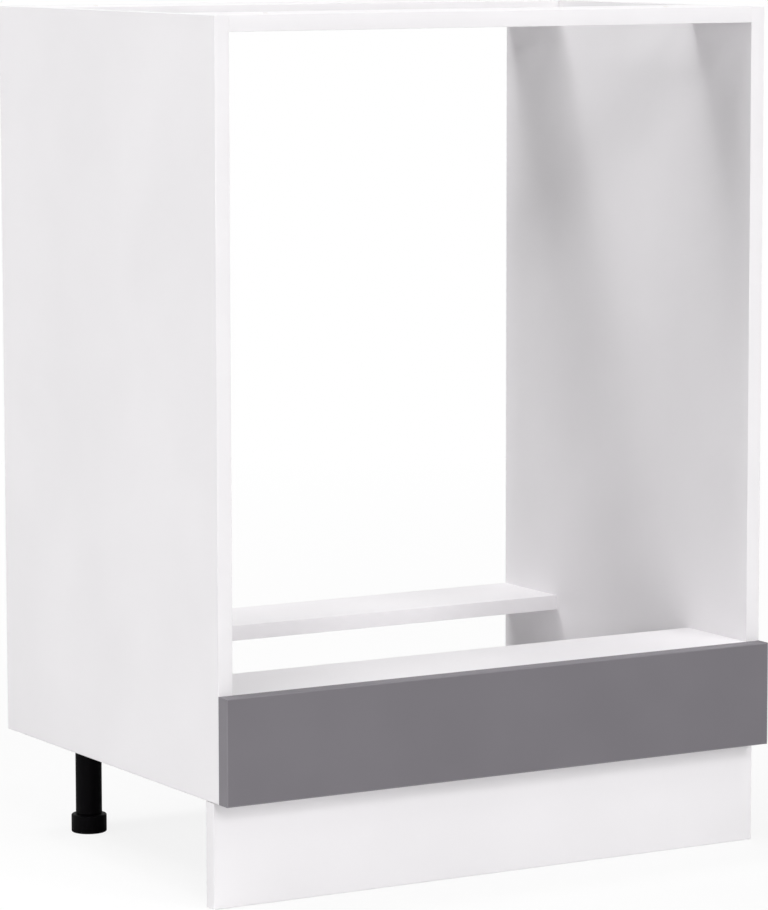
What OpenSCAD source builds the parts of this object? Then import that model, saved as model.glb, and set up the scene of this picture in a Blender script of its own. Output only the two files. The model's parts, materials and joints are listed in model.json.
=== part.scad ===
// Base cabinet for a built-in oven, open at the back, on four screw feet with a clip-on plinth.
// Origin: on the floor, in the middle of the cabinet's width and depth, with the front facing -Y.

/* [Cabinet] */
// Overall width, which the gap in a kitchen run has to match
cabinet_w = 600; // [500:1:900]
// Height of the side boards, without the feet
side_h = 716; // [600:1:900]
// Depth of the side boards, without the front panel
side_d = 440; // [420:1:580]
// Thickness of the cabinet boards
board_t = 15; // [15:0.5:19]
// Thickness of the edging strips
edging_t = 1; // [0.5:0.1:2]
// Depth of the two top rails
top_rail_d = 100; // [90:1:150]
// Depth of the two boards that carry the oven
oven_board_d = 100; // [90:1:150]
// Height of the oven's seat above the bottom edge of the sides
oven_seat_h = 100; // [96:1:160]

/* [Front panel and plinth] */
// Thickness of the front panel
front_t = 16; // [15:0.5:22]
// Thickness of the plinth board
plinth_t = 15; // [12:0.5:18]
// How far the plinth stands back from the front edges of the sides
plinth_setback = 10; // [4:1:16]
// Clearance above the plinth and below it
plinth_gap = 0.5; // [0.3:0.1:3]

/* [Legs] */
// Height of the sides' bottom edge above the floor, with the feet screwed in
leg_h = 100; // [90:1:150]
// Distance from a side's outer face to the leg's axis
leg_inset_x = 60; // [50:1:110]
// Distance from the front and rear edges of the sides to the leg's axis
leg_inset_y = 58; // [52:1:80]
// Outer diameter of the leg's tube
tube_dia = 26; // [24:0.5:30]
// Diameter of the threaded stem
stem_dia = 18; // [14:0.5:19]
// Length of the stem above the foot
stem_len = 60; // [45:1:64]
// Diameter of the spigot that the foot turns on
spigot_dia = 12; // [8:0.5:13]
// Diameter of the foot
foot_dia = 35; // [32:0.5:46]
// Height of the foot
foot_h = 18; // [14:0.5:22]
// Side of the square mounting plate
plate_side = 60; // [56:1:70]
// Thickness of the mounting plate
plate_t = 3; // [2.5:0.1:4]
// Depth of the plate's sleeve below the plate
sleeve_h = 15; // [10:0.5:20]
// Wall of the plate's sleeve
sleeve_wall = 4; // [2:0.5:5]

/* [Dowels and cams] */
// Diameter of a dowel
dowel_dia = 8; // [6:0.5:9]
// Length of a dowel
dowel_len = 30; // [26:1:36]
// Distance from a cam's axis to the dowel beside it
dowel_pitch = 32; // [20:1:34]
// Diameter of a cam
cam_dia = 15; // [12:0.5:18]
// Depth of a cam's pocket from the underside of its board
cam_depth = 12; // [11:0.1:12.5]
// Distance from the end of a board to its cam's axis
cam_backset = 24; // [20:1:34]
// Diameter of the cam bolt's shank
bolt_dia = 6; // [4:0.5:6.5]
// Distance from the front and rear of the bottom board to its cams
bottom_cam_inset = 130; // [100:1:170]

/* [Brackets, clips and screws] */
// Length of each arm of the front panel's brackets
bracket_arm = 25; // [20:1:28]
// Width of a bracket
bracket_w = 20; // [14:1:30]
// Thickness of a bracket's steel
bracket_t = 2; // [1:0.1:3]
// Distance from a side's outer face to the middle of the bracket
bracket_inset = 110; // [60:1:200]
// Height of a plinth clip's foot plate
clip_plate_h = 50; // [42:1:60]
// Width of a plinth clip's foot plate
clip_plate_w = 44; // [42:1:60]
// Thickness of a plinth clip's foot plate and arms
clip_t = 3; // [2:0.1:4]
// Height of a plinth clip's jaws
clip_jaw_h = 20; // [12:1:24]
// Height of a plinth clip's jaws above the floor, at their middle
clip_level = 50; // [46:1:54]
// Shank diameter of the screws
screw_dia = 3.5; // [3:0.1:4.5]
// Length of the screws under the head
screw_len = 13; // [10:0.5:14]
// Diameter of a screw's head
screw_head_dia = 7; // [6:0.1:8]
// Height of a screw's head
screw_head_h = 2.2; // [1.6:0.1:2.6]
// Diameter of the holes for the worktop screws in the top rails
worktop_hole_dia = 5; // [4:0.1:6]
// Distance from a side's outer face to the worktop screws
worktop_hole_inset = 80; // [60:1:160]

/* [Hidden] */
$fn = 48;

// Clearances
fit = 0.05;         // radial gap round a pin, dowel, screw or bolt in its hole
free_gap = 0.3;     // gap between pieces that move past each other
end_gap = 0.5;      // spare depth at the end of a blind hole
strip_gap = 0.05;   // hairline between two edging strips that meet at a corner
cut = 1;            // how far a cutting tool runs past the surface it opens

// Levels and places in the cabinet's own frame: Y from the sides' front edges, Z from their bottom edge
total_d = side_d + front_t;
front_y = front_t - total_d / 2;
inner_w = cabinet_w - 2 * board_t;
plinth_h = leg_h - 2 * plinth_gap;
plinth_back = plinth_setback + plinth_t;
leg_x = cabinet_w / 2 - leg_inset_x;
leg_ys = [leg_inset_y, side_d - leg_inset_y];

// Dowel and cam fittings
dowel_in_side = 11;
dowel_end_bevel = 1;
bolt_thread_dia = 5;
bolt_in_side = 11;
bolt_head_dia = 7;
bolt_head_len = 3;
bolt_tip_bevel = 1;
bolt_bore_dia = 8;
cam_slot_w = 8;
cam_recess = 1.5;
cam_recess_arm = 9;
cam_recess_w = 1.6;

// Legs and feet
tube_top_wall = 6;
spigot_floor = 4;
foot_bevel = 1;
plate_corner_r = 8;
plate_hole_inset = 8;
rib_t = 2;
rib_h = 9;
rib_root = 1;       // how deep a rib starts inside the sleeve's wall
rib_setback = 2;    // how far a rib ends from the plate's edge

// Screws
recess_w = 1.1;
recess_arm = 4;
recess_depth = 1.2;
screw_tip = 2.5;
screw_rim_share = 0.5;      // straight part of the head's height
screw_crown_share = 0.7;    // flat part of the head's width
screw_hole_dia = screw_dia + 0.5;

// Clips and brackets
clip_lead = 3;
clip_arm_past = 8;
clip_screw_gap = 17;
bracket_hole_far = 9;
bracket_bend_r = 1;     // inner radius of the bend

// Each board between the sides: its front edge's place, its underside's level and its depth
bottom_place = [0, 0, side_d];
top_front_place = [0, side_h - board_t, top_rail_d];
top_rear_place = [side_d - top_rail_d, side_h - board_t, top_rail_d];
front_oven_place = [0, oven_seat_h - board_t, oven_board_d];
rear_oven_place = [side_d - oven_board_d, oven_seat_h - board_t, oven_board_d];
rail_places = [top_front_place, top_rear_place, front_oven_place, rear_oven_place];

// Each cam and each dowel row, as its distance from the sides' front edges and its board's underside
bottom_cams = [for (y = [bottom_cam_inset, side_d - bottom_cam_inset]) [y, 0]];
rail_cams = [for (p = rail_places) [p[0] + p[2] / 2, p[1]]];
cam_spots = concat(bottom_cams, rail_cams);
bottom_dowels = [for (y = [bottom_cam_inset + dowel_pitch, side_d - bottom_cam_inset - dowel_pitch]) [y, 0]];
rail_dowels = [for (c = rail_cams, s = [-1, 1]) [c[0] + s * dowel_pitch, c[1]]];
dowel_spots = concat(bottom_dowels, rail_dowels);

// Screw places
plate_screw_at = plate_side / 2 - plate_hole_inset;
bracket_xs = [-(cabinet_w / 2 - bracket_inset), cabinet_w / 2 - bracket_inset];
bracket_levels = [[board_t, 1], [oven_seat_h - board_t, -1]];
bracket_screw_at = bracket_arm - bracket_hole_far;
clip_screw_levels = [clip_level - clip_screw_gap, clip_level + clip_screw_gap];
worktop_holes = [for (p = [top_front_place, top_rear_place]) p[0] + p[2] / 2];

// Moves a piece from the cabinet's own frame into the part's frame
module in_cabinet() translate([0, front_y, leg_h]) children();

// A cylinder that runs along +X from its start
module rod_x(d, len) rotate([0, 90, 0]) cylinder(d = d, h = len);

// A cylinder that runs along +Y from its start
module rod_y(d, len) rotate([-90, 0, 0]) cylinder(d = d, h = len);

// Pan-head screw along +Z with its head's underside at Z = 0 and its tip below
module screw() {
    difference() {
        rotate_extrude()
            polygon([
                [0, -screw_len], [screw_dia / 2, screw_tip - screw_len], [screw_dia / 2, 0],
                [screw_head_dia / 2, 0], [screw_head_dia / 2, screw_head_h * screw_rim_share],
                [screw_head_dia / 2 * screw_crown_share, screw_head_h], [0, screw_head_h]
            ]);
        for (a = [0, 90])
            rotate(a)
                translate([-recess_arm / 2, -recess_w / 2, screw_head_h - recess_depth])
                    cube([recess_arm, recess_w, recess_depth + cut]);
    }
}

// Pilot hole for a screw whose head's underside is at Z = 0
module screw_hole() translate([0, 0, -screw_len - end_gap])
    cylinder(d = screw_dia + 2 * fit, h = screw_len + end_gap + cut);

// Places children on every leg's axis, at the level of the sides' bottom edge
module at_legs() {
    for (x = [-leg_x, leg_x], y = leg_ys)
        translate([x, y, 0]) children();
}

// Places children at the four screws of a leg plate
module at_plate_screws() {
    for (x = [-1, 1], y = [-1, 1])
        translate([x * plate_screw_at, y * plate_screw_at, 0]) children();
}

// Side board without its edging; side is -1 on the left and 1 on the right
module side_core(side) {
    inner_x = side * inner_w / 2;
    difference() {
        translate([side > 0 ? inner_w / 2 : -cabinet_w / 2, edging_t, edging_t])
            cube([board_t, side_d - 2 * edging_t, side_h - 2 * edging_t]);
        for (c = cam_spots)
            translate([inner_x, c[0], c[1] + board_t / 2])
                rotate([0, 0, side > 0 ? 0 : 180])
                    translate([-cut, 0, 0])
                        rod_x(bolt_thread_dia + 2 * fit, bolt_in_side + end_gap + cut);
        for (w = dowel_spots)
            translate([inner_x, w[0], w[1] + board_t / 2])
                rotate([0, 0, side > 0 ? 0 : 180])
                    translate([-cut, 0, 0])
                        rod_x(dowel_dia + 2 * fit, dowel_in_side + end_gap + cut);
    }
}

// The four edging strips of a side board; the upright ones run past the level ones
module side_strips(side) {
    x = side > 0 ? inner_w / 2 : -cabinet_w / 2;
    end = edging_t + strip_gap;
    for (y = [0, side_d - edging_t])
        translate([x, y, 0]) cube([board_t, edging_t, side_h]);
    for (z = [0, side_h - edging_t])
        translate([x, end, z]) cube([board_t, side_d - 2 * end, edging_t]);
}

// Board between the sides at a place, with its cam pockets, bolt bores and dowel holes
module cross_board(place) {
    difference() {
        translate([-inner_w / 2, place[0] + edging_t, place[1]])
            cube([inner_w, place[2] - 2 * edging_t, board_t]);
        for (c = cam_spots, s = [-1, 1])
            if (in_board(c, place))
                translate([s * (inner_w / 2 - cam_backset), c[0], c[1]]) {
                    translate([0, 0, -cut]) cylinder(d = cam_dia + 2 * fit, h = cam_depth + cut);
                    translate([0, 0, board_t / 2])
                        rotate([0, 0, s > 0 ? 0 : 180]) rod_x(bolt_bore_dia, cam_backset + cut);
                }
        for (w = dowel_spots, s = [-1, 1])
            if (in_board(w, place))
                translate([s * inner_w / 2, w[0], w[1] + board_t / 2])
                    rotate([0, 0, s > 0 ? 180 : 0])
                        translate([-cut, 0, 0])
                            rod_x(dowel_dia + 2 * fit, dowel_len - dowel_in_side + end_gap + cut);
    }
}

// Whether a fitting lies in the board at this place
function in_board(spot, place) =
    spot[1] == place[1] && spot[0] > place[0] && spot[0] < place[0] + place[2];

// Front and rear edging strips of a board between the sides
module cross_strips(place) {
    for (y = [place[0], place[0] + place[2] - edging_t])
        translate([-inner_w / 2, y, place[1]]) cube([inner_w, edging_t, board_t]);
}

// Top rail with its two holes for the worktop's screws
module top_rail(place, hole_y) {
    difference() {
        cross_board(place);
        for (s = [-1, 1])
            translate([s * (cabinet_w / 2 - worktop_hole_inset), hole_y, place[1] - cut])
                cylinder(d = worktop_hole_dia, h = board_t + 2 * cut);
    }
}

// Bottom board with pilot holes for the leg plates and the lower brackets
module bottom_core() {
    difference() {
        cross_board(bottom_place);
        at_legs() at_plate_screws() translate([0, 0, -plate_t]) mirror([0, 0, 1]) screw_hole();
        for (x = bracket_xs)
            translate([x, bracket_screw_at, board_t + bracket_t]) screw_hole();
    }
}

// Oven board with pilot holes for the upper brackets
module front_oven_core() {
    difference() {
        cross_board(front_oven_place);
        for (x = bracket_xs)
            translate([x, bracket_screw_at, front_oven_place[1] - bracket_t])
                mirror([0, 0, 1]) screw_hole();
    }
}

// Core of an upright panel: full width, with its front face at y
module panel_core(y, t, z, h) translate([edging_t - cabinet_w / 2, y, z + edging_t])
    cube([cabinet_w - 2 * edging_t, t, h - 2 * edging_t]);

// The four edging strips of an upright panel; the upright ones run past the level ones
module panel_strips(y, t, z, h) {
    end = edging_t + strip_gap;
    for (x = [-cabinet_w / 2, cabinet_w / 2 - edging_t])
        translate([x, y, z]) cube([edging_t, t, h]);
    for (level = [z, z + h - edging_t])
        translate([end - cabinet_w / 2, y, level]) cube([cabinet_w - 2 * end, t, edging_t]);
}

// Front panel with pilot holes for the brackets
module front_core() {
    difference() {
        panel_core(-front_t, front_t, 0, oven_seat_h);
        for (x = bracket_xs, b = bracket_levels)
            translate([x, bracket_t, b[0] + b[1] * bracket_screw_at])
                rotate([-90, 0, 0]) screw_hole();
    }
}

// Plinth board with pilot holes for its clips
module plinth_core() {
    difference() {
        panel_core(plinth_setback, plinth_t, plinth_gap - leg_h, plinth_h);
        for (s = [-1, 1], level = clip_screw_levels)
            translate([s * leg_x, plinth_back + clip_t, level - leg_h])
                rotate([-90, 0, 0]) screw_hole();
    }
}

// Mounting plate of a leg, with ribs that stiffen its sleeve
module leg_plate() {
    r = plate_corner_r;
    sleeve_dia = tube_dia + 2 * sleeve_wall;
    rib_start = sleeve_dia / 2 - rib_root;
    difference() {
        union() {
            translate([0, 0, -plate_t])
                linear_extrude(plate_t) {
                    square([plate_side, plate_side - 2 * r], center = true);
                    square([plate_side - 2 * r, plate_side], center = true);
                    for (x = [-1, 1], y = [-1, 1])
                        translate([x * (plate_side / 2 - r), y * (plate_side / 2 - r)]) circle(r);
                }
            translate([0, 0, -plate_t - sleeve_h]) cylinder(d = sleeve_dia, h = sleeve_h + plate_t);
            for (a = [0:90:270])
                rotate([90, 0, a])
                    translate([0, 0, -rib_t / 2])
                        linear_extrude(rib_t)
                            polygon([
                                [rib_start, -plate_t], [plate_side / 2 - rib_setback, -plate_t],
                                [sleeve_dia / 2, -plate_t - rib_h], [rib_start, -plate_t - rib_h]
                            ]);
        }
        translate([0, 0, -plate_t - sleeve_h - cut]) cylinder(d = tube_dia + 2 * fit, h = sleeve_h + cut);
        at_plate_screws() translate([0, 0, -plate_t - cut]) cylinder(d = screw_hole_dia, h = plate_t + 2 * cut);
    }
}

// Tube of a leg, open at the bottom for the stem
module leg_tube() {
    bottom = foot_h + free_gap - leg_h;
    top = -plate_t;
    difference() {
        translate([0, 0, bottom]) cylinder(d = tube_dia, h = top - bottom);
        translate([0, 0, bottom - cut])
            cylinder(d = stem_dia + 2 * fit, h = top - bottom - tube_top_wall + cut);
    }
}

// Stem that screws in and out of the tube and carries the foot on its spigot
module leg_stem() {
    shoulder = foot_h + free_gap - leg_h;
    translate([0, 0, shoulder]) cylinder(d = stem_dia, h = stem_len);
    translate([0, 0, spigot_floor + free_gap - leg_h])
        cylinder(d = spigot_dia, h = shoulder + leg_h - spigot_floor - free_gap + cut);
}

// Round foot that turns to set the height
module foot() {
    r = foot_dia / 2;
    b = foot_bevel;
    translate([0, 0, -leg_h])
        difference() {
            rotate_extrude()
                polygon([[0, 0], [r - b, 0], [r, b], [r, foot_h - b], [r - b, foot_h], [0, foot_h]]);
            translate([0, 0, spigot_floor]) cylinder(d = spigot_dia + 2 * fit, h = foot_h);
        }
}

// Side view of a bracket: two arms from a rounded bend, one along X and one along Y
module bracket_outline() {
    bend = bracket_bend_r + bracket_t;
    translate([bend, 0]) square([bracket_arm - bend, bracket_t]);
    translate([0, bend]) square([bracket_t, bracket_arm - bend]);
    difference() {
        intersection() {
            square(bend);
            translate([bend, bend]) circle(bend);
        }
        translate([bend, bend]) circle(bracket_bend_r);
    }
}

// Angle bracket between the front panel and a board; up is 1 above a board and -1 below one
module bracket(up) {
    mirror([0, 0, up > 0 ? 0 : 1])
        difference() {
            translate([-bracket_w / 2, 0, 0])
                rotate([90, 0, 90]) linear_extrude(bracket_w) bracket_outline();
            translate([0, bracket_screw_at, -cut]) cylinder(d = screw_hole_dia, h = bracket_t + 2 * cut);
            translate([0, -cut, bracket_screw_at]) rod_y(screw_hole_dia, bracket_t + 2 * cut);
        }
}

// Plinth clip: a foot plate on the plinth's back and two arms that pass the leg's tube
module plinth_clip() {
    reach = leg_inset_y - plinth_back;
    seat_r = tube_dia / 2 + free_gap;
    outer_r = seat_r + clip_t;
    tip_y = reach + clip_arm_past;
    translate([0, plinth_back, clip_level - leg_h])
        difference() {
            union() {
                translate([-clip_plate_w / 2, 0, -clip_plate_h / 2])
                    cube([clip_plate_w, clip_t, clip_plate_h]);
                translate([0, 0, -clip_jaw_h / 2])
                    linear_extrude(clip_jaw_h)
                        difference() {
                            union() {
                                translate([-seat_r, 0]) square([2 * seat_r, reach]);
                                translate([0, reach]) circle(outer_r);
                                for (s = [-1, 1])
                                    polygon([
                                        [s * seat_r, reach], [s * outer_r, reach], [s * outer_r, tip_y],
                                        [s * (outer_r + clip_lead), tip_y + clip_lead],
                                        [s * (seat_r + clip_lead), tip_y + clip_lead], [s * seat_r, tip_y]
                                    ]);
                            }
                            translate([0, reach]) circle(seat_r);
                            translate([-seat_r, reach]) square([2 * seat_r, 2 * outer_r]);
                            translate([clip_t - seat_r, clip_t])
                                square([2 * (seat_r - clip_t), reach - seat_r - 2 * clip_t]);
                        }
            }
            for (z = [-clip_screw_gap, clip_screw_gap])
                translate([0, -cut, z]) rod_y(screw_hole_dia, clip_t + 2 * cut);
        }
}

// Dowel along +X, centred on the joint's own depths
module dowel() {
    r = dowel_dia / 2;
    b = dowel_end_bevel;
    rotate([0, 90, 0])
        rotate_extrude()
            polygon([
                [0, 0], [r - b, 0], [r, b], [r, dowel_len - b], [r - b, dowel_len], [0, dowel_len]
            ]);
}

// Cam with a slot for the bolt's head, which enters along +X
module cam() {
    difference() {
        cylinder(d = cam_dia, h = cam_depth - end_gap);
        translate([0, 0, board_t / 2]) rod_x(cam_slot_w, cam_dia);
        translate([0, 0, board_t / 2]) sphere(d = cam_slot_w);
        for (a = [0, 90])
            rotate(a)
                translate([-cam_recess_arm / 2, -cam_recess_w / 2, -cut])
                    cube([cam_recess_arm, cam_recess_w, cam_recess + cut]);
    }
}

// Cam bolt along +X: its head in the cam at the start, its thread in the side board at the end
module cam_bolt() {
    bolt_len = cam_backset + bolt_in_side;
    rotate([0, 90, 0])
        rotate_extrude()
            polygon([
                [0, 0], [bolt_head_dia / 2, 0], [bolt_head_dia / 2, bolt_head_len],
                [bolt_dia / 2, bolt_head_len], [bolt_dia / 2, cam_backset],
                [bolt_thread_dia / 2, cam_backset], [bolt_thread_dia / 2, bolt_len - bolt_tip_bevel],
                [bolt_thread_dia / 2 - bolt_tip_bevel, bolt_len], [0, bolt_len]
            ]);
}

// Every dowel in place
module all_dowels() {
    for (w = dowel_spots, s = [-1, 1])
        translate([s * (inner_w / 2 + dowel_in_side), w[0], w[1] + board_t / 2])
            rotate([0, 0, s > 0 ? 180 : 0]) dowel();
}

// Every cam in place
module all_cams() {
    for (c = cam_spots, s = [-1, 1])
        translate([s * (inner_w / 2 - cam_backset), c[0], c[1]]) rotate([0, 0, s > 0 ? 0 : 180]) cam();
}

// Every cam bolt in place
module all_cam_bolts() {
    for (c = cam_spots, s = [-1, 1])
        translate([s * (inner_w / 2 - cam_backset), c[0], c[1] + board_t / 2])
            rotate([0, 0, s > 0 ? 0 : 180]) cam_bolt();
}

// Screws of the leg plates
module all_plate_screws() {
    at_legs() at_plate_screws() translate([0, 0, -plate_t]) mirror([0, 0, 1]) screw();
}

// Screws of the front panel's brackets
module all_bracket_screws() {
    for (x = bracket_xs, b = bracket_levels) {
        translate([x, bracket_screw_at, b[0] + b[1] * bracket_t])
            mirror([0, 0, b[1] > 0 ? 0 : 1]) screw();
        translate([x, bracket_t, b[0] + b[1] * bracket_screw_at]) rotate([-90, 0, 0]) screw();
    }
}

// Screws of the plinth clips
module all_clip_screws() {
    for (s = [-1, 1], level = clip_screw_levels)
        translate([s * leg_x, plinth_back + clip_t, level - leg_h]) rotate([-90, 0, 0]) screw();
}

// One piece of the leg at a corner: x is -1 left and 1 right, row is 0 at the front and 1 at the rear
module leg_piece(x, row) in_cabinet() translate([x * leg_x, leg_ys[row], 0]) children();

// One bracket: x is 0 left and 1 right, level is 0 on the bottom board and 1 under the oven board
module bracket_at(x, level) in_cabinet()
    translate([bracket_xs[x], 0, bracket_levels[level][0]]) bracket(bracket_levels[level][1]);

module left_side_board() color("white") in_cabinet() side_core(-1);
module right_side_board() color("white") in_cabinet() side_core(1);
module bottom_board() color("white") in_cabinet() bottom_core();
module top_front_rail() color("white") in_cabinet() top_rail(top_front_place, worktop_holes[0]);
module top_rear_rail() color("white") in_cabinet() top_rail(top_rear_place, worktop_holes[1]);
module front_oven_board() color("white") in_cabinet() front_oven_core();
module rear_oven_board() color("white") in_cabinet() cross_board(rear_oven_place);
module front_panel() color("dimgray") in_cabinet() front_core();
module plinth_board() color("white") in_cabinet() plinth_core();

module left_side_edging() color("whitesmoke") in_cabinet() side_strips(-1);
module right_side_edging() color("whitesmoke") in_cabinet() side_strips(1);
module bottom_edging() color("whitesmoke") in_cabinet() cross_strips(bottom_place);
module top_front_edging() color("whitesmoke") in_cabinet() cross_strips(top_front_place);
module top_rear_edging() color("whitesmoke") in_cabinet() cross_strips(top_rear_place);
module front_oven_edging() color("whitesmoke") in_cabinet() cross_strips(front_oven_place);
module rear_oven_edging() color("whitesmoke") in_cabinet() cross_strips(rear_oven_place);
module front_panel_edging() color("gray") in_cabinet() panel_strips(-front_t, front_t, 0, oven_seat_h);
module plinth_edging() color("whitesmoke") in_cabinet()
    panel_strips(plinth_setback, plinth_t, plinth_gap - leg_h, plinth_h);

module front_left_leg_plate() color([0.1, 0.1, 0.1]) leg_piece(-1, 0) leg_plate();
module front_right_leg_plate() color([0.1, 0.1, 0.1]) leg_piece(1, 0) leg_plate();
module rear_left_leg_plate() color([0.1, 0.1, 0.1]) leg_piece(-1, 1) leg_plate();
module rear_right_leg_plate() color([0.1, 0.1, 0.1]) leg_piece(1, 1) leg_plate();
module front_left_leg_tube() color([0.1, 0.1, 0.1]) leg_piece(-1, 0) leg_tube();
module front_right_leg_tube() color([0.1, 0.1, 0.1]) leg_piece(1, 0) leg_tube();
module rear_left_leg_tube() color([0.1, 0.1, 0.1]) leg_piece(-1, 1) leg_tube();
module rear_right_leg_tube() color([0.1, 0.1, 0.1]) leg_piece(1, 1) leg_tube();
module front_left_leg_stem() color([0.2, 0.2, 0.2]) leg_piece(-1, 0) leg_stem();
module front_right_leg_stem() color([0.2, 0.2, 0.2]) leg_piece(1, 0) leg_stem();
module rear_left_leg_stem() color([0.2, 0.2, 0.2]) leg_piece(-1, 1) leg_stem();
module rear_right_leg_stem() color([0.2, 0.2, 0.2]) leg_piece(1, 1) leg_stem();
module front_left_foot() color([0.1, 0.1, 0.1]) leg_piece(-1, 0) foot();
module front_right_foot() color([0.1, 0.1, 0.1]) leg_piece(1, 0) foot();
module rear_left_foot() color([0.1, 0.1, 0.1]) leg_piece(-1, 1) foot();
module rear_right_foot() color([0.1, 0.1, 0.1]) leg_piece(1, 1) foot();

module lower_left_bracket() color("silver") bracket_at(0, 0);
module lower_right_bracket() color("silver") bracket_at(1, 0);
module upper_left_bracket() color("silver") bracket_at(0, 1);
module upper_right_bracket() color("silver") bracket_at(1, 1);
module left_plinth_clip() color([0.1, 0.1, 0.1]) in_cabinet() translate([-leg_x, 0, 0]) plinth_clip();
module right_plinth_clip() color([0.1, 0.1, 0.1]) in_cabinet() translate([leg_x, 0, 0]) plinth_clip();

module dowels() color("burlywood") in_cabinet() all_dowels();
module cams() color("silver") in_cabinet() all_cams();
module cam_bolts() color("silver") in_cabinet() all_cam_bolts();
module leg_plate_screws() color("silver") in_cabinet() all_plate_screws();
module bracket_screws() color("silver") in_cabinet() all_bracket_screws();
module plinth_clip_screws() color("silver") in_cabinet() all_clip_screws();

left_side_board();
right_side_board();
bottom_board();
top_front_rail();
top_rear_rail();
front_oven_board();
rear_oven_board();
front_panel();
plinth_board();
left_side_edging();
right_side_edging();
bottom_edging();
top_front_edging();
top_rear_edging();
front_oven_edging();
rear_oven_edging();
front_panel_edging();
plinth_edging();
front_left_leg_plate();
front_right_leg_plate();
rear_left_leg_plate();
rear_right_leg_plate();
front_left_leg_tube();
front_right_leg_tube();
rear_left_leg_tube();
rear_right_leg_tube();
front_left_leg_stem();
front_right_leg_stem();
rear_left_leg_stem();
rear_right_leg_stem();
front_left_foot();
front_right_foot();
rear_left_foot();
rear_right_foot();
lower_left_bracket();
lower_right_bracket();
upper_left_bracket();
upper_right_bracket();
left_plinth_clip();
right_plinth_clip();
dowels();
cams();
cam_bolts();
leg_plate_screws();
bracket_screws();
plinth_clip_screws();
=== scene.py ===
import json
import math

import bmesh
import bpy
from mathutils import Matrix, Vector


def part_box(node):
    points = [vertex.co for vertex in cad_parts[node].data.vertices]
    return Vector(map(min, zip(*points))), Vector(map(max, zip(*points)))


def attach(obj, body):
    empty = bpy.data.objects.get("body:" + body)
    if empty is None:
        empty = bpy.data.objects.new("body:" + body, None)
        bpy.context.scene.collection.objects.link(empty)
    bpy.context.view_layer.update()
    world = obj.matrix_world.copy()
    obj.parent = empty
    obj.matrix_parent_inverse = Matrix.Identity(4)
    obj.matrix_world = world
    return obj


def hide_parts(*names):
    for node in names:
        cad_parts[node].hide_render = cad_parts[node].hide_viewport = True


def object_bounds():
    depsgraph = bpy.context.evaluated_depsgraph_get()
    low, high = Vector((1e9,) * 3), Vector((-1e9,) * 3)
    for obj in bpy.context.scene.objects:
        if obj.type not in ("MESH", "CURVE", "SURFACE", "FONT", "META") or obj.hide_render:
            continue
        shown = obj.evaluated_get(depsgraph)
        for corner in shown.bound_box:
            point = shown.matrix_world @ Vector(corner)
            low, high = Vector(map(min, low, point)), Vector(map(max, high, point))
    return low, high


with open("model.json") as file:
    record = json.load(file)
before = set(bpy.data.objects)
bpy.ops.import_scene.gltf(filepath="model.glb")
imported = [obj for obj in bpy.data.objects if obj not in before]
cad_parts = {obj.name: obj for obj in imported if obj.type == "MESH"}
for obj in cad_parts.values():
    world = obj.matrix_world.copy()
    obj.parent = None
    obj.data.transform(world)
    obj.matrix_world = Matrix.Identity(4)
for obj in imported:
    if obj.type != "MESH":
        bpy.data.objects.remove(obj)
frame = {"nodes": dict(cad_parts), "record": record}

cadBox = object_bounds()
mm = 0.001
weld = 0.002 * mm                    # points of a CAD mesh closer than this are one point
bodies = frame["record"]["behaviour"]["bodies"]


# Nodes of shaders and of geometry trees

def addNode(tree, kind, inputs=None, **settings):
    # inputs holds values or the sockets that feed them; a list feeds one socket several times
    node = tree.nodes.new(kind)
    for name, value in settings.items():
        setattr(node, name, value)
    for key, value in (inputs or {}).items():
        for item in value if isinstance(value, list) else [value]:
            if isinstance(item, bpy.types.NodeSocket):
                tree.links.new(item, node.inputs[key])
            else:
                node.inputs[key].default_value = item
    return node


def firstOf(tree, kind, inputs=None, **settings):
    # the first output of a new node
    return addNode(tree, kind, inputs, **settings).outputs[0]


def calc(tree, operation, *values):
    return firstOf(tree, "ShaderNodeMath", dict(enumerate(values)), operation=operation)


def remap(tree, value, low, high, toLow, toHigh):
    names = ("Value", "From Min", "From Max", "To Min", "To Max")
    inputs = dict(zip(names, (value, low, high, toLow, toHigh)))
    return firstOf(tree, "ShaderNodeMapRange", inputs)


def noise(tree, place, size, detail=2.0):
    # size is how large the spots are, in metres, and detail how many finer noises lie on them
    inputs = {"Vector": place, "Scale": 1 / size, "Detail": detail}
    return firstOf(tree, "ShaderNodeTexNoise", inputs)


def stretched(tree, place, x, y, z):
    # draws a pattern out along the axes, so many times each
    inputs = {"Vector": place, "Scale": (1 / x, 1 / y, 1 / z)}
    return firstOf(tree, "ShaderNodeMapping", inputs)


def cells(tree, place, size):
    # how far a point is from the middle of its cell, and a tone that each cell has for itself
    found = addNode(tree, "ShaderNodeTexVoronoi", {"Vector": place, "Scale": 1 / size}).outputs
    return found["Distance"], firstOf(tree, "ShaderNodeSeparateColor", {"Color": found["Color"]})


def mixed(tree, share, first, second):
    # inputs 6 and 7 and output 2 are the node's colours
    return addNode(tree, "ShaderNodeMix", {0: share, 6: first, 7: second}, data_type="RGBA").outputs[2]


def linear(colour):
    # a colour as the eye reads it, 0 to 255, made linear for the shaders
    shares = [value / 255 for value in colour]
    return (*[s / 12.92 if s <= 0.04045 else ((s + 0.055) / 1.055) ** 2.4 for s in shares], 1.0)


# Materials: every pattern is in metres on Object coordinates

def newMaterial(name):
    material = bpy.data.materials.new(name)
    material.use_nodes = True
    tree = material.node_tree
    place = addNode(tree, "ShaderNodeTexCoord").outputs["Object"]
    return material, tree, tree.nodes["Principled BSDF"], place


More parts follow.
